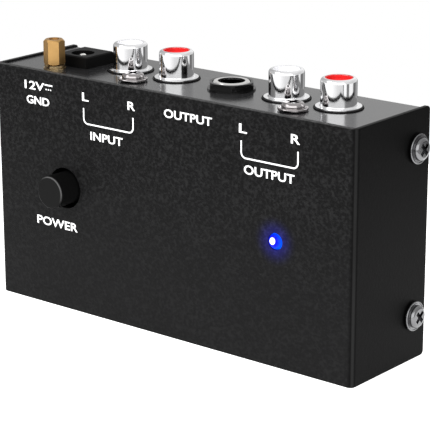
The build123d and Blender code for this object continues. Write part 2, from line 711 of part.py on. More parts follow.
def make_ground_post():
    """Screw from inside, ring lug, flat washer, spring washer and the hexagonal nut."""
    lug_bottom = panel_under - lug
    washer_top = panel_top + flat_washer
    nut_bottom = washer_top + lock_washer + lock_washer_rise
    nut_top = nut_bottom + post_height
    bore = stud_radius + stud_clearance

    stud = rod_z(post_x, post_y, (lug_bottom, nut_top - stud_drop), stud_radius)
    stud = chamfer(edges_at(stud, Axis.Z, -1), stud_tip_chamfer)
    head = rod_z(post_x, post_y, (lug_bottom - stud_head, lug_bottom), stud_head_radius)
    head = fillet(edges_at(head, Axis.Z, 0), stud_head_round)
    parts["ground_stud"] = stud + head

    plate = rod_z(post_x, post_y, (lug_bottom, panel_under), lug_radius)
    barrel_end = post_x - lug_radius + lug_barrel_overlap
    barrel_x = (barrel_end - lug_barrel_length, barrel_end)
    neck = block((barrel_x[0] + 1, post_x), span(post_y, lug_neck_width), (lug_bottom, panel_under))
    barrel_z = panel_under - lug_barrel_radius
    barrel = rod_x(barrel_x, post_y, barrel_z, lug_barrel_radius)
    tongue = plate + neck + barrel
    tongue -= rod_z(post_x, post_y, (lug_bottom - 1, panel_under + 1), bore)
    clear_head = (lug_bottom - stud_head - 1, lug_bottom)
    tongue -= rod_z(post_x, post_y, clear_head, stud_head_radius + lug_head_clearance)
    crimp_x = (barrel_x[0] - 1, barrel_x[0] + lug_crimp_depth)
    tongue -= rod_x(crimp_x, post_y, barrel_z, lead_radius + lead_crimp_clearance)
    parts["ground_lug"] = tongue

    flat = rod_z(post_x, post_y, (panel_top, washer_top), flat_washer_radius)
    parts["ground_washer"] = flat - rod_z(post_x, post_y, (panel_top - 1, washer_top + 1), bore)
    parts["ground_lock_washer"] = make_lock_washer(washer_top)

    nut = hex_bar(post_x, post_y, (nut_bottom, nut_top), post_across, post_turn)
    corner_radius = post_across / 2 / cos(pi / 6)
    round_off = rod_z(post_x, post_y, (nut_bottom, nut_top), corner_radius)
    round_off = chamfer(edges_at(round_off, Axis.Z, -1), post_chamfer)
    round_off = chamfer(edges_at(round_off, Axis.Z, 0), post_foot_chamfer)
    nut &= round_off
    parts["ground_nut"] = nut - rod_z(post_x, post_y, (nut_bottom - 1, nut_top + 1), bore)

    # the lead leaves the lug, turns down and back, and ends in the board
    land_x = post_x - lead_land_out
    land_z = panel_under - lead_land_drop
    route = [
        (crimp_x[1], post_y, barrel_z),
        (barrel_x[0] - lead_reach, post_y, barrel_z),
        (post_x - lead_corner_out, post_y + lead_corner_back, panel_under - lead_corner_drop),
        (land_x, board_front - lead_approach, land_z),
        (land_x, tail_end, land_z),
    ]
    path = FilletPolyline(*route, radius=list(lead_bends))
    profile = Plane(origin=path @ 0, z_dir=path % 0) * Circle(lead_radius)
    parts["ground_lead"] = sweep(profile, path=path)
    pierce(land_x, land_z, 2 * lead_radius)


# ---- Power switch and lamp -------------------------------------------------------------------
def make_switch():
    """Latching push switch on the board, its stem and spring, and the round cap on the stem."""
    body_front = board_front - switch_height
    body_y = (body_front, board_front)
    room_y = (body_front + switch_wall, board_front - switch_wall)
    room_size = collar_size + 2 * slide_clearance
    body = block(span(button_x, switch_size), body_y, span(button_height, switch_size))
    body = fillet(body.edges().filter_by(Axis.Y), switch_round)
    body -= block(span(button_x, room_size), room_y, span(button_height, room_size))
    mouth = stem_size + 2 * slide_clearance
    body -= block(span(button_x, mouth), (body_front - 1, room_y[0] + 1), span(button_height, mouth))
    parts["switch_body"] = body

    stem_front = body_front - stem_reach
    collar_y = (room_y[0] + slide_clearance, room_y[0] + slide_clearance + collar_thickness)
    stem = block(span(button_x, stem_size), (stem_front, collar_y[1]), span(button_height, stem_size))
    stem += block(span(button_x, collar_size), collar_y, span(button_height, collar_size))
    parts["switch_stem"] = stem

    coil_low = collar_y[1] + spring_wire + spring_end_gap
    coil_length = room_y[1] - spring_wire - spring_end_gap - coil_low
    path = Helix(pitch=coil_length / spring_turns, height=coil_length, radius=spring_radius)
    wire = sweep(Plane(origin=path @ 0, z_dir=path % 0) * Circle(spring_wire), path=path, is_frenet=True)
    parts["switch_spring"] = Pos(button_x, coil_low, button_height) * Rot(X=-90) * wire

    pins = []
    pin_reach = switch_size / 2 - switch_pin_inset
    for x in (button_x - pin_reach, button_x, button_x + pin_reach):
        for z in (button_height - pin_reach, button_height + pin_reach):
            pierce(x, z, switch_pin, switch_pin)
            pins.append(block(span(x, switch_pin), (board_front, tail_end), span(z, switch_pin)))
    parts["switch_pins"] = Compound(pins)

    cap_y = (label_y - button_proud, body_front - button_travel - button_run_out)
    cap = rod_y(button_x, cap_y, button_height, button_radius)
    cap = fillet(edges_at(cap, Axis.Y, 0), button_round)
    hollow_y = (stem_front, cap_y[1] + 1)
    hollow = rod_y(button_x, hollow_y, button_height, button_radius - button_wall)
    cap -= hollow - rod_y(button_x, hollow_y, button_height, stem_boss_radius)
    cap -= block(span(button_x, stem_size), hollow_y, span(button_height, stem_size))
    parts["power_button"] = cap


def make_lamp():
    """Round-nosed indicator in the label wall, on two long leads from the board."""
    nose = label_y - lamp_proud
    back = nose + lamp_length
    lens = rod_y(lamp_x, (nose, back), control_height, lamp_radius)
    lens = fillet(edges_at(lens, Axis.Y, 0), lamp_radius * 0.92)
    rim_y = (back - lamp_rim_length, back)
    parts["power_lamp"] = lens + rod_y(lamp_x, rim_y, control_height, lamp_radius + lamp_rim)
    leads = []
    for side in (-1, 1):
        x = lamp_x + side * lamp_lead_pitch / 2
        pierce(x, control_height, lamp_lead, lamp_lead)
        leads.append(block(span(x, lamp_lead), (back, tail_end), span(control_height, lamp_lead)))
    parts["lamp_leads"] = Compound(leads)


# ---- Electronics -----------------------------------------------------------------------------
def leaded(body, places):
    """A component body with straight leads through the board at each place."""
    for x, z in places:
        body += rod_y(x, (board_front - seat_gap, tail_end), z, lead_wire)
        pierce(x, z, 2 * lead_wire)
    return body


def make_can(x, z, radius, height):
    """An electrolytic capacitor: rolled can with a groove near its foot."""
    seat = board_front - seat_gap
    can = rod_y(x, (seat - height, seat), z, radius)
    can = fillet(edges_at(can, Axis.Y, 0), can_round)
    ring_y = (seat - can_groove_rise - can_groove_width, seat - can_groove_rise)
    can -= rod_y(x, ring_y, z, radius + 1) - rod_y(x, ring_y, z, radius - can_groove)
    return leaded(can, [(x - can_lead_pitch / 2, z), (x + can_lead_pitch / 2, z)])


def make_chip(x, z):
    """An eight-pin amplifier chip on its two rows of legs."""
    seat = board_front - chip_seat_gap
    front = seat - chip_height
    body = block(span(x, chip_width), (front, seat), span(z, chip_length))
    body -= rod_y(x, (front - 1, front + chip_notch), z + chip_length / 2, chip_notch_radius)
    leg_front = seat - chip_height / 2
    for side in (-1, 1):
        leg_x = x + side * chip_row / 2
        for place in range(4):
            leg_z = z + (place - 1.5) * chip_pitch
            shoulder = sorted((leg_x + side * chip_leg / 2, x + side * (chip_width / 2 - chip_leg)))
            body += block(shoulder, (leg_front, leg_front + chip_leg), span(leg_z, chip_shoulder_width))
            body += block(span(leg_x, chip_leg), (leg_front, tail_end), span(leg_z, chip_leg_width))
            pierce(leg_x, leg_z, chip_leg, chip_leg_width)
    return body


def make_film(x, z):
    """A boxed film capacitor."""
    seat = board_front - seat_gap
    body = block(span(x, film_width), (seat - film_height, seat), span(z, film_thickness))
    body = fillet(body.edges().filter_by(Axis.Y), film_round)
    return leaded(body, [(x - film_lead_pitch / 2, z), (x + film_lead_pitch / 2, z)])


def make_resistor(x, z):
    """An axial resistor lying along Z, both leads bent down into the board."""
    axis_y = board_front - resistor_rise
    ends = (z - resistor_span / 2, z + resistor_span / 2)
    body = rod_z(x, axis_y, span(z, resistor_length), resistor_radius)
    body = fillet(body.edges().filter_by(GeomType.CIRCLE), resistor_round)
    body += rod_z(x, axis_y, ends, lead_wire)
    for end in ends:
        body += Pos(x, axis_y, end) * Sphere(lead_wire)
        body += rod_y(x, (axis_y, tail_end), end, lead_wire)
        pierce(x, end, 2 * lead_wire)
    return body


def make_regulator():
    """The voltage regulator: a small round case with one flat face, on three legs."""
    x, z = regulator_place
    seat = board_front - regulator_seat
    body_y = (seat - regulator_height, seat)
    body = rod_y(x, body_y, z, regulator_radius)
    cut_z = (z + regulator_flat, z + 2 * regulator_radius)
    body -= block(span(x, 4 * regulator_radius), (body_y[0] - 1, seat + 1), cut_z)
    body = fillet(body.edges().filter_by(Axis.Y), regulator_round)
    for place in (-1, 0, 1):
        leg_x = x + place * regulator_lead_pitch
        pierce(leg_x, z, regulator_lead, regulator_lead)
        body += block(span(leg_x, regulator_lead), (seat - 1, tail_end), span(z, regulator_lead))
    parts["voltage_regulator"] = body


def make_electronics():
    parts["amplifier_chips"] = Compound([make_chip(x, z) for x, z in chip_places])
    cans = [make_can(x, z, small_can_radius, small_can_height) for x, z in small_can_places]
    parts["signal_capacitors"] = Compound(cans)
    parts["supply_capacitor"] = make_can(*main_can_place, main_can_radius, main_can_height)
    parts["film_capacitors"] = Compound([make_film(x, z) for x, z in film_places])
    columns = [resistor_first + place * resistor_spacing for place in range(4)]
    upper = control_height - resistor_drop
    rows = (upper - resistor_row_pitch, upper)
    parts["resistors"] = Compound([make_resistor(x, z) for x in columns for z in rows])
    make_regulator()


# ---- Everything ------------------------------------------------------------------------------
make_cover()
make_chassis()
make_side_screws()
make_feet()
make_jacks()
make_phone_jack()
make_power_jack()
make_ground_post()
make_switch()
make_lamp()
make_electronics()
make_board()

os.makedirs("parts", exist_ok=True)
for node, shape in parts.items():
    export_step(shape, f"parts/{node}.step")
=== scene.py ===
"""The looks of a small phono preamplifier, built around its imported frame.

Every size is in metres, in the frame of the part: X along the case, Y from the label wall to the back
plate, Z up to the jack panel.
"""

import json
import math

import bmesh
import bpy
from bpy.props import FloatProperty, FloatVectorProperty
from mathutils import Matrix, Vector


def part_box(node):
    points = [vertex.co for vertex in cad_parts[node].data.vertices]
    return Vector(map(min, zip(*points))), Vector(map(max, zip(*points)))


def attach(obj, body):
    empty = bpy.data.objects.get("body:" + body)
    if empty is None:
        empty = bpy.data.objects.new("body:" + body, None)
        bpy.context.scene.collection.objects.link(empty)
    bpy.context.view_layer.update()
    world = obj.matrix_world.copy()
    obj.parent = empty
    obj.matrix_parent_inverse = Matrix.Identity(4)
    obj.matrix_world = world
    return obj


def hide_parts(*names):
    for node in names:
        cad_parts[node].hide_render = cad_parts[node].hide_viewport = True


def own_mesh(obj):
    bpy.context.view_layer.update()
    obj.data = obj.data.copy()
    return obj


bl_info = {
    "name": "Phono preamplifier finish",
    "version": (1, 0, 0),
    "blender": (4, 5, 0),
    "location": "3D View > Sidebar > Preamplifier",
    "description": "Finishes, lettering and small visible detail of a boxed phono preamplifier",
    "category": "Object",
}

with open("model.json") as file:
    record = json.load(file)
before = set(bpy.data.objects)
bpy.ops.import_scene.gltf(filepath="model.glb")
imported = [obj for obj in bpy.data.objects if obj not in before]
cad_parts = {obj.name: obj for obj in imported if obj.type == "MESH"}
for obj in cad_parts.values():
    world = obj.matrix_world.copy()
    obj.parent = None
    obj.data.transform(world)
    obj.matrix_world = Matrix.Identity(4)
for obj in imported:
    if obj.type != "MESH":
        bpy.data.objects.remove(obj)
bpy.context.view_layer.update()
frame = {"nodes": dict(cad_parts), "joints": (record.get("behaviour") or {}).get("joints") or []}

MM = 0.001
NODES = frame["nodes"]
COVER_LOW, COVER_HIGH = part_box("cover")
LABEL_Y = COVER_LOW.y
LEFT_X = COVER_LOW.x
PANEL_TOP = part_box("ground_washer")[0].z
LAMP_LOW, LAMP_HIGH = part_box("power_lamp")
LAMP_X = (LAMP_LOW.x + LAMP_HIGH.x) / 2
LAMP_Z = (LAMP_LOW.z + LAMP_HIGH.z) / 2

BLACK = (0.0, 0.0, 0.0)
WHITE = (1.0, 1.0, 1.0)
# above a screw's seat, where the painted shadow on its underside ends
SEAT_SHADE = (0.3 * MM, 0.38 * MM)
# the plated rim of the 6.35 mm jack, over its bore, which is painted black as shade
PHONE_RIM = 0.85 * MM
# along X, where the label wall folds into the side wall
SIDE_WALL = (53.4 * MM, 54.7 * MM)
# along X, the painted highlight on that fold: where it starts and where it ends
FOLD_FROM = (54.3 * MM, 54.6 * MM)
FOLD_TO = (54.8 * MM, 54.98 * MM)
# along Z, where the painted highlights on the grain's crests and the painted shade in its hollows grow from
# weak below to full above, and the upper edge with its painted highlight
SHEEN_RISE = (12 * MM, 56 * MM)
RIM = (COVER_HIGH.z - 0.25 * MM, COVER_HIGH.z - 0.03 * MM)
# colours of the painted highlights on the coat, on the fold and on the upper edge
FOLD_HIGHLIGHT = (0.018, 0.018, 0.018)
RIM_HIGHLIGHT = (0.07, 0.07, 0.07)
# from the middle of the button's front, the inner and the outer side of the painted highlight on its edge
HIGHLIGHT_FROM = (3.65 * MM, 3.8 * MM)
HIGHLIGHT_TO = (3.95 * MM, 4.1 * MM)
# how far up and to the right of that middle the painted highlight on the edge is full, and its colour there
HIGHLIGHT_REACH = 4.0 * MM
BUTTON_HIGHLIGHT = (0.085, 0.085, 0.085)
# from the lamp, where its light on the coat starts to fade and where it ends, and its colour
GLOW = (1.2 * MM, 7.0 * MM)
GLOW_COLOR = (0.01, 0.008, 0.22)
# from the lamp's middle to its bright spot, along X and along Z
CORE_SHIFT = (-0.2 * MM, 0.3 * MM)
# from the bright spot, its edge and the edge of the pale blue about it
CORE = (0.6 * MM, 0.95 * MM)
TINT = (1.0 * MM, 2.6 * MM)
# the bare aluminium at a capacitor's end, and the share of a pitch that its stripe takes
BARE_END = 0.4 * MM
STRIPE = (0.44, 0.56)
# between the tracks of the board, and between the parts that stand in a row on it
PITCH = 9 * MM


# ---- Shader maths ---------------------------------------------------------------------------
class Value:
    """A number socket that plain arithmetic works on, adding the Math nodes itself."""

    def __init__(self, graph, socket):
        self.graph = graph
        self.socket = socket

    def _math(self, operation, first, second):
        return self.graph.node("ShaderNodeMath", {"operation": operation}, {0: first, 1: second})

    def __add__(self, other):
        return self._math("ADD", self, other)

    def __sub__(self, other):
        return self._math("SUBTRACT", self, other)

    def __rsub__(self, other):
        return self._math("SUBTRACT", other, self)

    def __mul__(self, other):
        return self._math("MULTIPLY", self, other)

    def __gt__(self, other):
        return self._math("GREATER_THAN", self, other)

    __radd__ = __add__
    __rmul__ = __mul__


class Graph:
    """A node tree under construction."""

    def __init__(self, tree):
        self.tree = tree

    def node(self, kind, settings=None, inputs=None, output=0):
        """Adds a node: its settings first, then the values or links of its sockets."""
        made = self.tree.nodes.new(kind)
        for key, value in (settings or {}).items():
            if key == "stops":
                self._set_stops(made.color_ramp, value)
            else:
                setattr(made, key, value)
        for key, value in (inputs or {}).items():
            self._feed(made.inputs[key], value)
        return None if output is None else Value(self, made.outputs[output])

    @staticmethod
    def _set_stops(ramp, stops):
        while len(ramp.elements) < len(stops):
            ramp.elements.new(0.5)
        for element, (position, color) in zip(ramp.elements, stops):
            element.position = position
            element.color = (*color, 1.0)

    def _feed(self, socket, value):
        if isinstance(value, Value):
            self.tree.links.new(value.socket, socket)
        elif hasattr(value, "__len__") and socket.type == "RGBA":
            socket.default_value = (*value, 1.0)
        else:
            socket.default_value = value

    def ramp(self, factor, stops):
        """A colour by where a number lies between stops of a place and a colour each."""
        return self.node("ShaderNodeValToRGB", {"stops": stops}, {0: factor})

    def blend(self, factor, first, second):
        """A colour between two colours."""
        sockets = {"Factor": factor, 6: first, 7: second}
        return self.node("ShaderNodeMix", {"data_type": "RGBA"}, sockets, output=2)

    def share(self, value, low, high):
        """How far a value has come from low to high, kept between 0 and 1."""
        sockets = {"Value": value, "From Min": low, "From Max": high}
        return self.node("ShaderNodeMapRange", {"interpolation_type": "SMOOTHSTEP"}, sockets)

    def band(self, value, start, end):
        """1 between two soft edges and 0 outside them; each edge goes from its low to its high."""
        return self.share(value, *start) * (1.0 - self.share(value, *end))


class Finish(Graph):
    """A material under construction."""

    def __init__(self, name):
        self.material = bpy.data.materials.new(name)
        self.material.use_nodes = True
        super().__init__(self.material.node_tree)
        self.shader = self.tree.nodes["Principled BSDF"]
        self._place = None

    def place(self):
        """The point of the surface in the frame of the part."""
        if self._place is None:
            self._place = self.node("ShaderNodeTexCoord", output=3)
        return self._place

    def along(self, axis):
        """One coordinate of the point, in metres."""
        return self.node("ShaderNodeSeparateXYZ", inputs={0: self.place()}, output=axis)

    def repeated(self, axis):
        """The share of the way from one pitch to the next along an axis."""
        turns = self.along(axis) * (1.0 / PITCH)
        return self.node("ShaderNodeMath", {"operation": "FRACT"}, {0: turns})

    def stretched(self, scale):
        """The point with each coordinate scaled by its own factor."""
        return self.node("ShaderNodeVectorMath", {"operation": "MULTIPLY"}, {0: self.place(), 1: scale})

    def noise(self, grain, detail=2.0, roughness=0.5, place=None, distortion=0.0):
        """Cloudy noise whose largest lumps are about one grain across."""
        sockets = {
            "Vector": place or self.place(),
            "Scale": 1.0 / grain,
            "Detail": detail,
            "Roughness": roughness,
            "Distortion": distortion,
        }
        return self.node("ShaderNodeTexNoise", inputs=sockets)

    def cells(self, grain, feature="F1"):
        """The distance to the nearest of many seeds that are about one grain apart."""
        sockets = {"Vector": self.place(), "Scale": 1.0 / grain}
        return self.node("ShaderNodeTexVoronoi", {"feature": feature}, sockets)

    def distance(self, point):
        """How far the surface is from a point."""
        sockets = {0: self.place(), 1: point}
        return self.node("ShaderNodeVectorMath", {"operation": "DISTANCE"}, sockets, output=1)

    def bump(self, height, depth, strength=1.0, below=None):
        """A surface relief of that depth in metres, upon another one if given."""
        sockets = {"Height": height, "Distance": depth, "Strength": strength}
        if below is not None:
            sockets["Normal"] = below
        return self.node("ShaderNodeBump", inputs=sockets)

    def surface(self, **sockets):
        """Sets the shader's sockets, named in lower case with underscores."""
        for key, value in sockets.items():
            name = key.replace("_", " ").title().replace("Ior", "IOR")
            self._feed(self.shader.inputs[name], value)
        return self.material


# ---- Finishes ---------------------------------------------------------------------------------
def wrinkle_coat(name, color, grain, depth, roughness, lamp):
    """Powder coat with a leathery grain; painted highlights on its crests, fold and upper edge, painted
    shade in its hollows and on the side wall, and the lamp's glow painted around its place.
    """
    finish = Finish(name)
    place = finish.stretched((0.8, 1.0, 1.25))
    folds = finish.noise(grain, detail=3.0, roughness=0.6, distortion=0.8, place=place)
    pits = finish.cells(grain * 1.2, "SMOOTH_F1")
    height = folds * 0.7 + pits * 0.45
    dust = finish.noise(grain * 20, detail=1.0)
    ridge = finish.share(height * (dust * 0.2 + 0.9), 0.45, 0.75)
    across, up = finish.along(0), finish.along(2)
    side = finish.share(across, *SIDE_WALL)
    # painted highlight and shade: the grain's crests are painted lighter and its hollows darker, more so
    # towards the top
    upper = finish.share(up, *SHEEN_RISE) * 0.55 + 0.45
    crest_highlight = (ridge - 0.4) * upper + 0.4
    tone = finish.blend(crest_highlight, [c * 0.7 for c in color], [c * 2.5 for c in color])
    # painted shade: the side wall is painted at a fifth of the coat's colour, without the crests' highlights
    tone = finish.blend(side, tone, [c * 0.2 for c in color])
    fold = finish.band(across, FOLD_FROM, FOLD_TO)
    rim = finish.share(up, *RIM) * (1.0 - side)
    # painted highlight along the fold
    tone = finish.blend(fold * (dust * 0.5 + 0.5), tone, FOLD_HIGHLIGHT)
    # painted highlight along the upper edge, except on the side wall
    tone = finish.blend(rim * (ridge * 0.4 + 0.6), tone, RIM_HIGHLIGHT)
    # painted light: the lamp's glow on the coat is the coat's own emission, fading away from the lamp
    near = 1.0 - finish.share(finish.distance(lamp), *GLOW)
    halo = near * near * (ridge * 0.4 + 0.6)
    return finish.surface(
        base_color=tone,
        roughness=height * 0.12 + roughness,
        specular_ior_level=0.04,
        emission_color=finish.blend(halo, BLACK, GLOW_COLOR),
        emission_strength=1.0,
        normal=finish.bump(height, depth, strength=1.0 - side * 0.7),
    )


def satin_coat(name, color, roughness, shine=0.5):
    """Smooth satin coat with a fine orange peel."""
    finish = Finish(name)
    peel = finish.noise(0.45 * MM, detail=2.0)
    haze = finish.noise(14 * MM, detail=1.0)
    tone = finish.blend(peel * haze, [c * 0.8 for c in color], [c * 1.2 for c in color])
    return finish.surface(
        base_color=tone,
        roughness=peel * 0.08 + haze * 0.05 + roughness,
        specular_ior_level=shine,
        normal=finish.bump(peel, 0.004 * MM),
    )


def plated(name, color, roughness, depth=0.0012 * MM, seat=None):
    """Plated metal with faint waviness and a little haze.

    A seat is an axis and how far out on it the piece sits; up to there, on both sides, it is painted black:
    painted shadow under a screw's collar, painted shade inside a jack's bore.
    """
    finish = Finish(name)
    grain = 0.25 * MM
    wave = finish.noise(grain * 9, detail=1.0)
    speck = finish.noise(grain, detail=3.0)
    tone = finish.blend(speck, [c * 0.92 for c in color], color)
    if seat is not None:
        axis, level = seat
        away = finish.node("ShaderNodeMath", {"operation": "ABSOLUTE"}, {0: finish.along(axis)})
        shown = finish.share(away, level + SEAT_SHADE[0], level + SEAT_SHADE[1])
        # painted shade: black up to the seat
        tone = finish.blend(shown, BLACK, tone)
    return finish.surface(
        base_color=tone,
        metallic=1.0,
        roughness=speck * 0.05 + wave * 0.03 + roughness,
        normal=finish.bump(wave + speck * 0.2, depth),
    )


def turned(name, color, roughness):
    """Metal turned or drawn along Z, with fine rings and a warm stain in places."""
    finish = Finish(name)
    rings = finish.noise(0.12 * MM, detail=1.0, place=finish.stretched((0.05, 0.05, 1.0)))
    stain = finish.noise(1.6 * MM, detail=2.0)
    tone = finish.blend(stain, [c * 0.78 for c in color], color)
    return finish.surface(
        base_color=tone,
        metallic=1.0,
        roughness=stain * 0.12 + rings * 0.06 + roughness,
        normal=finish.bump(rings, 0.002 * MM),
    )


def moulded(name, color, roughness, coat=0.0, shine=0.5, glow=0.0):
    """Injection-moulded plastic with a fine spark-eroded grain."""
    finish = Finish(name)
    grain = 0.3 * MM
    spark = finish.noise(grain, detail=2.0)
    flow = finish.noise(grain * 18, detail=1.0)
    tone = finish.blend(spark * flow, [c * 0.85 for c in color], [min(c * 1.1, 1.0) for c in color])
    return finish.surface(
        base_color=tone,
        roughness=spark * 0.08 + flow * 0.04 + roughness,
        specular_ior_level=shine,
        coat_weight=coat,
        # painted light where a glow is given: the plastic shines in its own colour
        emission_color=color,
        emission_strength=glow,
        normal=finish.bump(spark, 0.003 * MM),
    )


def highlit_button(name, color):
    """Black plastic, with a painted highlight along the upper right of its front edge."""
    finish = Finish(name)
    low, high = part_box("power_button")
    front = ((low.x + high.x) / 2, low.y, (low.z + high.z) / 2)
    away = finish.distance(front)
    ring = finish.band(away, HIGHLIGHT_FROM, HIGHLIGHT_TO)
    right = finish.along(0) - front[0]
    upper = finish.along(2) - front[2]
    # painted highlight: paler on the edge's upper right
    edge_highlight = ring * finish.share(right * 0.8 + upper, 0.0, HIGHLIGHT_REACH)
    grain = finish.noise(0.3 * MM)
    return finish.surface(
        base_color=finish.blend(edge_highlight * (grain * 0.6 + 0.6), color, BUTTON_HIGHLIGHT),
        roughness=grain * 0.1 + 0.35,
        specular_ior_level=0.05,
        normal=finish.bump(grain, 0.003 * MM),
    )


def rubber(name, color):
    """Matt rubber with a dusty bloom."""
    finish = Finish(name)
    bloom = finish.noise(2.5 * MM, detail=4.0)
    pores = finish.cells(0.35 * MM)
    tone = finish.blend(bloom, color, [c * 2.2 for c in color])
    return finish.surface(
        base_color=tone,
        roughness=bloom * 0.1 + 0.78,
        normal=finish.bump(pores, 0.006 * MM),
    )


def board_finish(name):
    """Green mask over copper tracks, with the glass weave just showing."""
    finish = Finish(name)
    laid = {"Vector": finish.place(), "Rotation": (math.pi / 2, 0, 0)}
    sockets = {
        "Vector": finish.node("ShaderNodeMapping", inputs=laid),
        "Scale": 1.0 / PITCH,
        "Mortar Size": 0.045,
        "Mortar Smooth": 0.1,
    }
    settings = {"offset": 0.37, "squash": 0.6, "squash_frequency": 3}
    tracks = finish.node("ShaderNodeTexBrick", settings, sockets, output=1)
    weave = finish.noise(0.5 * MM, detail=1.0)
    mask = finish.blend(weave, (0.012, 0.085, 0.03), (0.02, 0.12, 0.045))
    tone = finish.blend(tracks, mask, (0.04, 0.22, 0.08))
    return finish.surface(
        base_color=tone,
        roughness=weave * 0.1 + 0.22,
        normal=finish.bump(tracks, 0.03 * MM, below=finish.bump(weave, 0.004 * MM)),
    )


def banded(name, ground, bands):
    """A lacquered body with coloured bands across Z: each one's start, width and colour."""
    finish = Finish(name)
    share = finish.repeated(2)
    stops = [(0.0, ground)]
    for start, width, color in bands:
        stops += [(start, color), (start + width, ground)]
    ramp = finish.ramp(share, stops)
    ramp.socket.node.color_ramp.interpolation = "CONSTANT"
    lacquer = finish.noise(0.5 * MM)
    return finish.surface(
        base_color=ramp,
        roughness=lacquer * 0.1 + 0.3,
        normal=finish.bump(lacquer, 0.006 * MM),
    )


def sleeved_can(name, sleeve, stripe, front):
    """A capacitor in a shrunk sleeve with a pale stripe, bare aluminium at its front end."""
    finish = Finish(name)
    depth = finish.along(1) * (1.0 / MM)
    bare = depth * -1.0 > -(front + BARE_END) / MM
    side = finish.repeated(2)
    mark = (side > STRIPE[0]) * (1.0 - (side > STRIPE[1]))
    wrinkle = finish.noise(0.7 * MM, detail=2.0)
    tone = finish.blend(bare, finish.blend(mark, sleeve, stripe), (0.72, 0.73, 0.74))
    return finish.surface(
        base_color=tone,
        metallic=bare,
        roughness=wrinkle * 0.1 + 0.28,
        normal=finish.bump(wrinkle, 0.008 * MM),
    )


def lit_resin(name, color, pale, strength, core):
    """Tinted resin lit from inside, white at its core and paler blue about it."""
    finish = Finish(name)
    haze = finish.noise(0.9 * MM, detail=2.0)
    away = finish.distance(core)
    tint = finish.blend(finish.share(away, *TINT) * (haze * 0.3 + 0.7), color, pale)
    light = finish.blend(finish.share(away, *CORE), WHITE, tint)
    return finish.surface(
        base_color=color,
        roughness=haze * 0.05 + 0.2,
        specular_ior_level=0.08,
        emission_color=light,
        emission_strength=strength,
    )


def white_ink(name, brightness):
    """Screen-printed ink, a little uneven where it lies on the grain."""
    finish = Finish(name)
    grain = finish.noise(0.4 * MM, detail=3.0)
    tone = finish.blend(grain, (brightness * 0.86,) * 3, (brightness,) * 3)
    return finish.surface(
        base_color=tone,
        roughness=grain * 0.2 + 0.45,
        # painted light: the ink also glows white, brighter than the light on it makes it
        emission_color=WHITE,
        emission_strength=0.3,
        normal=finish.bump(grain, 0.01 * MM),
    )


def floor_finish(name, shade):
    """Seamless paper."""
    finish = Finish(name)
    fibre = finish.noise(3 * MM, detail=3.0)
    tone = finish.blend(fibre, (shade * 0.99,) * 3, (shade,) * 3)
    return finish.surface(
        base_color=tone,
        roughness=fibre * 0.05 + 0.85,
        specular_ior_level=0.1,
        emission_color=WHITE,
        emission_strength=0.95,
    )


# ---- Mesh helpers -----------------------------------------------------------------------------
def dress(material, *names):
    """Gives CAD nodes their finish."""
    for name in names:
        slots = NODES[name].data.materials
        slots.clear()
        slots.append(material)


def add_piece(name, mesh, material):
    """A new piece that rides on the case, with its mesh in one material."""
    mesh.materials.clear()
    mesh.materials.append(material)
    piece = bpy.data.objects.new(name, mesh)
    bpy.context.scene.collection.objects.link(piece)
    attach(piece, "case")
    return piece


def add_ink(name, build, ink):
    """A printed piece from a function that fills a bmesh."""
    mesh = bpy.data.meshes.new(name)
    shape = bmesh.new()
    build(shape)
    bmesh.ops.recalc_face_normals(shape, faces=shape.faces)
    shape.to_mesh(mesh)
    shape.free()
    add_piece(name, mesh, ink)


def add_live_spring(material):
    """Stands in for the spring behind the button."""
    low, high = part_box("switch_spring")
    travel = next(j["range_m"][1] for j in frame["joints"] if j["name"] == "power_press")
    piece = add_piece("switch_coil", NODES["switch_spring"].data.copy(), material)
    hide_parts("switch_spring")
    1 - travel / (high.y - low.y)
    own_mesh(piece)


def ribbon(shape, points, width, front, back):
    """A flat bar of ink along points in the XZ plane, from one depth to another."""
    half = width / 2
    left, right = [], []
    for index, point in enumerate(points):
        before = points[max(index - 1, 0)]
        after = points[min(index + 1, len(points) - 1)]
        along = Vector((after[0] - before[0], after[1] - before[1])).normalized()
        across = Vector((-along.y, along.x)) * half
        for side, rail in ((1, left), (-1, right)):
            x, z = point[0] + side * across.x, point[1] + side * across.y
            rail.append((shape.verts.new((x, front, z)), shape.verts.new((x, back, z))))
    for (a, a_back), (b, b_back), (c, c_back), (d, d_back) in zip(left, left[1:], right[1:], right):
        shape.faces.new((a, b, c, d))
        shape.faces.new((a_back, d_back, c_back, b_back))
        shape.faces.new((a, a_back, b_back, b))
        shape.faces.new((d, c, c_back, d_back))
    for index in (0, -1):
        (a, a_back), (d, d_back) = left[index], right[index]
        shape.faces.new((a, d, d_back, a_back))


def arc(centre, radius, start, end):
    """Points on an arc, angles in degrees."""
    steps = 6
    turns = [math.radians(start + (end - start) * step / steps) for step in range(steps + 1)]
    return [(centre[0] + radius * math.cos(t), centre[1] + radius * math.sin(t)) for t in turns]


# ---- Settings -----------------------------------------------------------------------------------
class CaseFinish(bpy.types.PropertyGroup):
    """Finish of the cover and the chassis."""

    coat: FloatVectorProperty(
        name="Cover coat",
        description="Colour of the leathery coat",
        default=(0.0058, 0.0058, 0.0059),
        subtype="COLOR",
    )
    panel: FloatVectorProperty(
        name="Panel coat",
        description="Colour of the satin coat",
        default=(0.02, 0.02, 0.021),
        subtype="COLOR",
    )
    grain: FloatProperty(
        name="Coat grain", description="Size of one fold of the coat", default=0.6 * MM, subtype="DISTANCE"
    )
    grain_depth: FloatProperty(
        name="Grain depth", description="Relief of the coat", default=0.12 * MM, subtype="DISTANCE"
    )


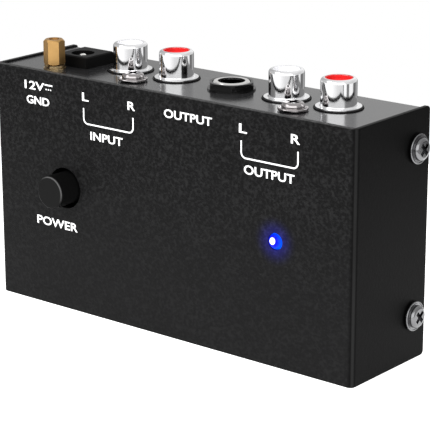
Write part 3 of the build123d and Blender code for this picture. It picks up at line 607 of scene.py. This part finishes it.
class Lettering(bpy.types.PropertyGroup):
    """Sizes of the printed words and lines."""

    ink: FloatProperty(name="Ink", description="Brightness of the ink", default=0.9, min=0.0, max=1.0)
    line: FloatProperty(
        name="Line", description="Width of the bracket lines", default=0.36 * MM, subtype="DISTANCE"
    )
    film: FloatProperty(
        name="Film", description="Height of the ink over the coat", default=0.03 * MM, subtype="DISTANCE"
    )
    weight: FloatProperty(
        name="Weight",
        description="Outward growth of each letter's outline",
        default=0.05 * MM,
        subtype="DISTANCE",
    )


class Lamp(bpy.types.PropertyGroup):
    """The indicator's light."""

    color: FloatVectorProperty(
        name="Resin", description="Colour of the tinted resin", default=(0.0, 0.0, 0.3), subtype="COLOR"
    )
    pale: FloatVectorProperty(
        name="Pale resin",
        description="Colour of the resin away from its core",
        default=(0.0, 0.045, 0.33),
        subtype="COLOR",
    )
    strength: FloatProperty(name="Strength", description="Strength of its light", default=3.2, min=0.0)


class Studio(bpy.types.PropertyGroup):
    """Camera and light."""

    azimuth: FloatProperty(
        name="Azimuth",
        description="Camera to the right of the label's normal",
        default=math.radians(39.26),
        unit="ROTATION",
    )
    elevation: FloatProperty(
        name="Elevation",
        description="Camera above the horizon",
        default=math.radians(16.663),
        unit="ROTATION",
    )
    roll: FloatProperty(
        name="Roll",
        description="Turn of the camera about its view",
        default=math.radians(-0.126),
        unit="ROTATION",
    )
    distance: FloatProperty(
        name="Distance",
        description="Camera from the part's front lower left corner",
        default=0.50518,
        unit="LENGTH",
    )
    aside: FloatProperty(
        name="Aside", description="Camera to the right of that corner", default=0.054606, unit="LENGTH"
    )
    above: FloatProperty(
        name="Above", description="Camera above that corner", default=0.019334, unit="LENGTH"
    )
    lens: FloatProperty(name="Lens", description="Focal length in millimetres", default=163.82)
    key: FloatProperty(
        name="Key light", description="Strength of the main softbox", default=1.5, unit="POWER"
    )
    paper: FloatProperty(name="Paper", description="Shade of the floor", default=0.86, min=0.0, max=1.0)


# ---- Operators ---------------------------------------------------------------------------------
class PREAMP_OT_case(bpy.types.Operator):
    """Coats the cover and the chassis"""

    bl_idname = "preamp.case"
    bl_label = "Case"

    def execute(self, context):
        case = context.scene.preamp_case
        lamp = (LAMP_X, LABEL_Y, LAMP_Z)
        coat = wrinkle_coat(
            "cover_powder_coat", case.coat, case.grain, case.grain_depth, roughness=0.42, lamp=lamp
        )
        dress(coat, "cover")
        dress(satin_coat("chassis_coat", case.panel, roughness=0.13), "chassis")
        dress(rubber("foot_rubber", (0.018, 0.018, 0.018)), "feet")
        return {"FINISHED"}


class PREAMP_OT_screws(bpy.types.Operator):
    """Plates the screws of the case and of the jacks"""

    bl_idname = "preamp.screws"
    bl_label = "Screws"

    def execute(self, context):
        wall = (0, COVER_HIGH.x)
        panel = (2, PANEL_TOP)
        # painted shadow: both kinds of screw are painted black under their collars
        nickel = plated("dark_nickel", (0.2, 0.2, 0.205), roughness=0.16, depth=0.003 * MM, seat=wall)
        dress(nickel, "side_screws")
        dress(plated("screw_chrome", (0.36, 0.34, 0.34), roughness=0.07, seat=panel), "jack_screws")
        return {"FINISHED"}


class PREAMP_OT_phono_jacks(bpy.types.Operator):
    """Finishes the four phono jacks and their two blocks"""

    bl_idname = "preamp.phono_jacks"
    bl_label = "Phono jacks"

    def execute(self, context):
        chrome = plated("jack_chrome", (0.9, 0.9, 0.91), roughness=0.045)
        # painted light: both insulators glow a little in their own colour, though they are no lamp
        white = moulded("insulator_white", (0.9, 0.9, 0.93), roughness=0.3, glow=0.1)
        red = moulded("insulator_red", (0.75, 0.02, 0.02), roughness=0.28, shine=0.3, glow=0.1)
        tin = plated("tinned_spring", (0.75, 0.75, 0.73), roughness=0.25)
        block = moulded("jack_block_black", (0.004, 0.004, 0.004), roughness=0.5, shine=0.08)
        for pair in ("input", "output"):
            dress(block, f"{pair}_jack_housing")
            for side, insulator in (("left", white), ("right", red)):
                dress(chrome, f"{pair}_{side}_shell")
                dress(insulator, f"{pair}_{side}_insulator")
                dress(tin, f"{pair}_{side}_contact")
        return {"FINISHED"}


class PREAMP_OT_phone_jack(bpy.types.Operator):
    """Finishes the 6.35 mm jack"""

    bl_idname = "preamp.phone_jack"
    bl_label = "Phone jack"

    def execute(self, context):
        dress(moulded("phone_body_black", (0.012, 0.012, 0.013), roughness=0.4), "phone_jack_body")
        # painted shade: the sleeve is painted black below its rim, where the bore lies in shade
        bore = (2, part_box("phone_jack_sleeve")[1].z - PHONE_RIM)
        ring = plated("nickel_ring", (0.72, 0.71, 0.7), roughness=0.16, seat=bore)
        dress(ring, "phone_jack_sleeve")
        oxide = satin_coat("black_oxide", (0.003, 0.003, 0.003), roughness=0.16, shine=0.18)
        dress(oxide, "phone_jack_nut", "phone_jack_washer")
        tin = plated("leaf_spring_tin", (0.7, 0.7, 0.67), roughness=0.28)
        dress(tin, "phone_jack_tip_spring", "phone_jack_ring_spring")
        return {"FINISHED"}


class PREAMP_OT_power_jack(bpy.types.Operator):
    """Finishes the power jack"""

    bl_idname = "preamp.power_jack"
    bl_label = "Power jack"

    def execute(self, context):
        body = moulded("power_body_black", (0.003, 0.003, 0.003), roughness=0.42, shine=0.07)
        dress(body, "power_jack_body")
        dress(plated("power_pin_nickel", (0.9, 0.89, 0.87), roughness=0.1), "power_jack_pin")
        dress(plated("power_spring_tin", (0.7, 0.7, 0.67), roughness=0.28), "power_jack_spring")
        return {"FINISHED"}


class PREAMP_OT_ground_post(bpy.types.Operator):
    """Finishes the ground post, its washers, lug and lead"""

    bl_idname = "preamp.ground_post"
    bl_label = "Ground post"

    def execute(self, context):
        dress(turned("post_brass", (0.52, 0.31, 0.115), roughness=0.34), "ground_nut", "ground_stud")
        washer = turned("washer_brass", (0.5, 0.37, 0.2), roughness=0.3)
        dress(washer, "ground_washer", "ground_lock_washer")
        dress(plated("lug_tin", (0.75, 0.75, 0.73), roughness=0.3), "ground_lug")
        dress(moulded("lead_green", (0.02, 0.2, 0.06), roughness=0.45), "ground_lead")
        return {"FINISHED"}


class PREAMP_OT_controls(bpy.types.Operator):
    """Finishes the push button, its switch and the lamp"""

    bl_idname = "preamp.controls"
    bl_label = "Button and lamp"

    def execute(self, context):
        lamp = context.scene.preamp_lamp
        dress(highlit_button("button_black", (0.0045, 0.0045, 0.0045)), "power_button")
        dress(moulded("switch_black", (0.015, 0.015, 0.017), roughness=0.5), "switch_body")
        dress(moulded("switch_stem_white", (0.75, 0.75, 0.72), roughness=0.4), "switch_stem")
        add_live_spring(plated("spring_steel", (0.6, 0.6, 0.6), roughness=0.25))
        dress(plated("switch_pin_tin", (0.72, 0.72, 0.7), roughness=0.3), "switch_pins", "lamp_leads")
        core = (LAMP_X + CORE_SHIFT[0], LAMP_LOW.y, LAMP_Z + CORE_SHIFT[1])
        resin = lit_resin("lamp_blue", tuple(lamp.color), tuple(lamp.pale), lamp.strength, core)
        dress(resin, "power_lamp")
        return {"FINISHED"}


class PREAMP_OT_inside(bpy.types.Operator):
    """Finishes the board and the parts on it"""

    bl_idname = "preamp.inside"
    bl_label = "Inside"

    def execute(self, context):
        dress(board_finish("board_green"), "circuit_board")
        dress(plated("standoff_zinc", (0.62, 0.63, 0.64), roughness=0.3), "board_standoffs", "board_screws")
        chip = moulded("chip_black", (0.02, 0.02, 0.02), roughness=0.55)
        dress(chip, "amplifier_chips", "voltage_regulator")
        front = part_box("signal_capacitors")[0].y
        small = sleeved_can("small_can_sleeve", (0.01, 0.015, 0.05), (0.5, 0.52, 0.55), front)
        dress(small, "signal_capacitors")
        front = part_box("supply_capacitor")[0].y
        main_can = sleeved_can("main_can_sleeve", (0.01, 0.01, 0.012), (0.55, 0.5, 0.35), front)
        dress(main_can, "supply_capacitor")
        film = moulded("film_box_red", (0.42, 0.04, 0.03), roughness=0.3, coat=0.3)
        dress(film, "film_capacitors")
        bands = (
            (0.2, 0.07, (0.25, 0.08, 0.02)),
            (0.36, 0.07, (0.02, 0.02, 0.02)),
            (0.52, 0.07, (0.5, 0.1, 0.02)),
        )
        dress(banded("resistor_lacquer", (0.5, 0.38, 0.22), bands), "resistors")
        return {"FINISHED"}


class PREAMP_OT_lettering(bpy.types.Operator):
    """Prints the words and the bracket lines on the label wall"""

    bl_idname = "preamp.lettering"
    bl_label = "Lettering"

    # word: text, left edge from the left wall, right edge, baseline and cap height, in millimetres
    WORDS = {
        "supply": ("12V", 10.0, 16.7, 54.85, 2.1),
        "ground": ("GND", 10.57, 18.26, 51.22, 2.05),
        "input_left": ("L", 29.3, 31.4, 54.48, 2.05),
        "input_right": ("R", 43.95, 46.3, 54.42, 2.05),
        "input": ("INPUT", 31.8, 42.2, 45.12, 2.05),
        "phone": ("OUTPUT", 55.3, 69.75, 54.37, 2.05),
        "output_left": ("L", 77.65, 79.95, 54.27, 2.15),
        "output_right": ("R", 92.35, 94.87, 54.12, 2.15),
        "output": ("OUTPUT", 79.1, 93.45, 44.82, 2.15),
        "power": ("POWER", 13.05, 26.8, 20.65, 2.2),
    }
    # a capital's share of the font size
    CAPITAL = 0.7
    # bracket: left leg, right leg, tops of the legs and the lower line, in millimetres
    BRACKETS = {"input": (29.7, 45.6, 52.7, 48.9), "output": (78.3, 94.35, 52.5, 48.5)}
    CORNER = 1.3
    # direct-current mark, in millimetres: left edge and length, then height and width of its bar and
    # of its dashes, then each dash's start, its step to the next one and its length
    MARK_LEFT, MARK_LENGTH = 16.85, 2.6
    BAR_HEIGHT, BAR_WIDTH = 56.6, 0.36
    DASH_HEIGHT, DASH_WIDTH = 55.5, 0.3
    DASH_START, DASH_STEP, DASH_LENGTH = 0.3, 0.75, 0.35

    def word(self, name, text, left, right, base, height, ink, style):
        """A word of even ink, fitted between two edges on its baseline."""
        curve = bpy.data.curves.new(f"word_{name}", "FONT")
        curve.body = text
        curve.size = height * MM / self.CAPITAL
        curve.offset = style.weight
        curve.extrude = style.film
        curve.resolution_u = 4
        carrier = bpy.data.objects.new(f"word_{name}_curve", curve)
        bpy.context.scene.collection.objects.link(carrier)
        bpy.context.view_layer.update()
        depsgraph = bpy.context.evaluated_depsgraph_get()
        mesh = bpy.data.meshes.new_from_object(carrier.evaluated_get(depsgraph))
        bpy.data.objects.remove(carrier)
        low = Vector([min(v.co[i] for v in mesh.vertices) for i in range(3)])
        high = Vector([max(v.co[i] for v in mesh.vertices) for i in range(3)])
        wide = (right - left) * MM / (high.x - low.x)
        tall = height * MM / (high.y - low.y)
        for vertex in mesh.vertices:
            x = LEFT_X + left * MM + (vertex.co.x - low.x) * wide
            z = base * MM + (vertex.co.y - low.y) * tall
            vertex.co = (x, LABEL_Y - vertex.co.z, z)
        add_piece(f"word_{name}", mesh, ink)

    def bracket(self, name, left, right, top, low, ink, style):
        """The line that joins a left and a right jack."""
        x = [LEFT_X + edge * MM for edge in (left, right)]
        radius = self.CORNER * MM
        points = [(x[0], top * MM)]
        points += arc((x[0] + radius, low * MM + radius), radius, 180, 270)
        points += arc((x[1] - radius, low * MM + radius), radius, 270, 360)
        points.append((x[1], top * MM))
        depths = (LABEL_Y - style.film, LABEL_Y + style.film)
        add_ink(f"bracket_{name}", lambda shape: ribbon(shape, points, style.line, *depths), ink)

    def direct_current(self, shape, style):
        """A bar over three dashes."""
        depths = (LABEL_Y - style.film, LABEL_Y + style.film)
        left = LEFT_X + self.MARK_LEFT * MM
        level = self.BAR_HEIGHT * MM
        bar = [(left, level), (left + self.MARK_LENGTH * MM, level)]
        ribbon(shape, bar, self.BAR_WIDTH * MM, *depths)
        level = self.DASH_HEIGHT * MM
        for index in range(3):
            start = left + (self.DASH_START + self.DASH_STEP * index) * MM
            dash = [(start, level), (start + self.DASH_LENGTH * MM, level)]
            ribbon(shape, dash, self.DASH_WIDTH * MM, *depths)

    def execute(self, context):
        style = context.scene.preamp_lettering
        ink = white_ink("white_ink", style.ink)
        for name, layout in self.WORDS.items():
            self.word(name, *layout, ink, style)
        for name, layout in self.BRACKETS.items():
            self.bracket(name, *layout, ink, style)
        add_ink("direct_current_mark", lambda shape: self.direct_current(shape, style), ink)
        return {"FINISHED"}


class PREAMP_OT_stage(bpy.types.Operator):
    """Lays the floor and sets up the lights and the camera"""

    bl_idname = "preamp.stage"
    bl_label = "Stage"

    # radiance by compass direction, in degrees from +X towards +Y, above and below the horizon
    PEAK = 2.7
    UPPER = (
        (-180, 0.6), (-150, 0.6), (-132, 0.8), (-124, 2.7), (-22, 2.7), (-12, 0.8), (40, 0.7), (90, 0.8),
        (118, 1.05), (127, 0.9), (136, 0.55), (150, 0.45), (180, 0.6),
    )
    LOWER = (
        (-180, 0.3), (-164, 0.25), (-160, 1.3), (-110, 1.3), (-62, 0.85), (-30, 0.8), (-28, 0.22),
        (-25, 0.22), (-23, 1.15), (-8, 1.15), (-3, 0.2), (9, 0.2), (14, 1.05), (40, 1.05), (46, 0.16),
        (69, 0.16), (74, 0.4), (94, 0.4), (102, 0.15), (130, 0.25), (180, 0.3),
    )
    # radiance of the ceiling, and the sines of the heights between which it blends in
    CEILING = 0.9
    CEILING_STARTS = (0.62, 0.8)
    # the sines of the heights between which the lower radiances pass into the upper ones
    HORIZON = (-0.06, 0.02)
    FLOOR_HALF = 0.16
    KEY_PLACE = (-0.45, -0.5, 0.75)
    KEY_TARGET = (0.0, 0.0, 0.03)
    KEY_SIDE = 0.4

    def key_light(self, power):
        """A square softbox to the left, in front and above."""
        light = bpy.data.lights.new("key_softbox", "AREA")
        light.shape = "SQUARE"
        light.size = self.KEY_SIDE
        light.energy = power
        carrier = bpy.data.objects.new("key_softbox", light)
        carrier.location = self.KEY_PLACE
        aim = Vector(self.KEY_TARGET) - Vector(self.KEY_PLACE)
        carrier.rotation_euler = aim.to_track_quat("-Z", "Y").to_euler()
        bpy.context.scene.collection.objects.link(carrier)

    def floor(self, shade):
        """Pale paper under the part."""
        mesh = bpy.data.meshes.new("studio_floor")
        shape = bmesh.new()
        bmesh.ops.create_grid(shape, x_segments=8, y_segments=8, size=self.FLOOR_HALF)
        shape.to_mesh(mesh)
        shape.free()
        mesh.materials.append(floor_finish("studio_paper", shade))
        paper = bpy.data.objects.new("studio_floor", mesh)
        bpy.context.scene.collection.objects.link(paper)

    def compass(self, graph, azimuth, stops):
        """A shade by compass direction, from radiances that are scaled to the peak."""
        scaled = [(turn / 360 + 0.5, (radiance / self.PEAK,) * 3) for turn, radiance in stops]
        return graph.ramp(azimuth, scaled)

    def world(self):
        """Soft boxes and flags round the horizon, plain white wherever the camera sees past the floor."""
        world = bpy.data.worlds.new("studio")
        world.use_nodes = True
        graph = Graph(world.node_tree)
        graph.tree.nodes.clear()
        direction = graph.node("ShaderNodeTexCoord", output="Generated")
        x, y, z = (
            graph.node("ShaderNodeSeparateXYZ", inputs={0: direction}, output=axis) for axis in range(3)
        )
        turn = graph.node("ShaderNodeMath", {"operation": "ARCTAN2"}, {0: y, 1: x})
        azimuth = turn * (0.5 / math.pi) + 0.5
        upper = self.compass(graph, azimuth, self.UPPER)
        lower = self.compass(graph, azimuth, self.LOWER)
        level = graph.blend(graph.share(z, *self.HORIZON), lower, upper)
        ceiling = graph.share(z, *self.CEILING_STARTS)
        shade = graph.blend(ceiling, level, (self.CEILING / self.PEAK,) * 3)
        light = graph.node("ShaderNodeBackground", inputs={"Color": shade, "Strength": self.PEAK})
        seen = graph.node("ShaderNodeBackground", inputs={"Color": WHITE, "Strength": 1.0})
        camera = graph.node("ShaderNodeLightPath", output="Is Camera Ray")
        choice = graph.node("ShaderNodeMixShader", inputs={0: camera, 1: light, 2: seen})
        graph.node("ShaderNodeOutputWorld", inputs={"Surface": choice}, output=None)
        bpy.context.scene.world = world

    def camera(self, studio):
        """Looks from the right and above, as far off as the sizes say."""
        az, el = studio.azimuth, studio.elevation
        back = Vector((math.sin(az) * math.cos(el), -math.cos(az) * math.cos(el), math.sin(el)))
        right = Vector((math.cos(az), math.sin(az), 0.0))
        up = back.cross(right)
        cos, sin = math.cos(studio.roll), math.sin(studio.roll)
        right, up = cos * right + sin * up, cos * up - sin * right
        corner = Vector((LEFT_X, LABEL_Y, 0.0))
        place = corner + right * studio.aside + up * studio.above + back * studio.distance
        data = bpy.data.cameras.new("studio_camera")
        data.lens = studio.lens
        data.sensor_width = 36.0
        data.clip_start = 0.01
        carrier = bpy.data.objects.new("studio_camera", data)
        carrier.matrix_world = Matrix.Translation(place) @ Matrix((right, up, back)).transposed().to_4x4()
        bpy.context.scene.collection.objects.link(carrier)
        bpy.context.scene.camera = carrier

    def execute(self, context):
        studio = context.scene.preamp_studio
        self.floor(studio.paper)
        self.world()
        self.key_light(studio.key)
        self.camera(studio)
        context.scene.view_settings.view_transform = "Standard"
        return {"FINISHED"}


OPERATORS = (
    PREAMP_OT_case,
    PREAMP_OT_screws,
    PREAMP_OT_phono_jacks,
    PREAMP_OT_phone_jack,
    PREAMP_OT_power_jack,
    PREAMP_OT_ground_post,
    PREAMP_OT_controls,
    PREAMP_OT_inside,
    PREAMP_OT_lettering,
    PREAMP_OT_stage,
)
SETTINGS = {
    "preamp_case": CaseFinish,
    "preamp_lettering": Lettering,
    "preamp_lamp": Lamp,
    "preamp_studio": Studio,
}


class PREAMP_PT_panel(bpy.types.Panel):
    """Lists the steps in the sidebar"""

    bl_idname = "PREAMP_PT_panel"
    bl_label = "Phono preamplifier"
    bl_space_type = "VIEW_3D"
    bl_region_type = "UI"
    bl_category = "Preamplifier"

    def draw(self, context):
        for operator in OPERATORS:
            self.layout.operator(operator.bl_idname)
        for group in SETTINGS:
            box = self.layout.box()
            settings = getattr(context.scene, group)
            for name in settings.__annotations__:
                box.prop(settings, name)


def register():
    for kind in (*SETTINGS.values(), *OPERATORS, PREAMP_PT_panel):
        bpy.utils.register_class(kind)
    for name, kind in SETTINGS.items():
        setattr(bpy.types.Scene, name, bpy.props.PointerProperty(type=kind))


def unregister():
    for name in SETTINGS:
        delattr(bpy.types.Scene, name)
    for kind in reversed((*SETTINGS.values(), *OPERATORS, PREAMP_PT_panel)):
        bpy.utils.unregister_class(kind)


def main():
    register()
    for operator in OPERATORS:
        group, name = operator.bl_idname.split(".")
        getattr(getattr(bpy.ops, group), name)()


if __name__ == "__main__":
    main()
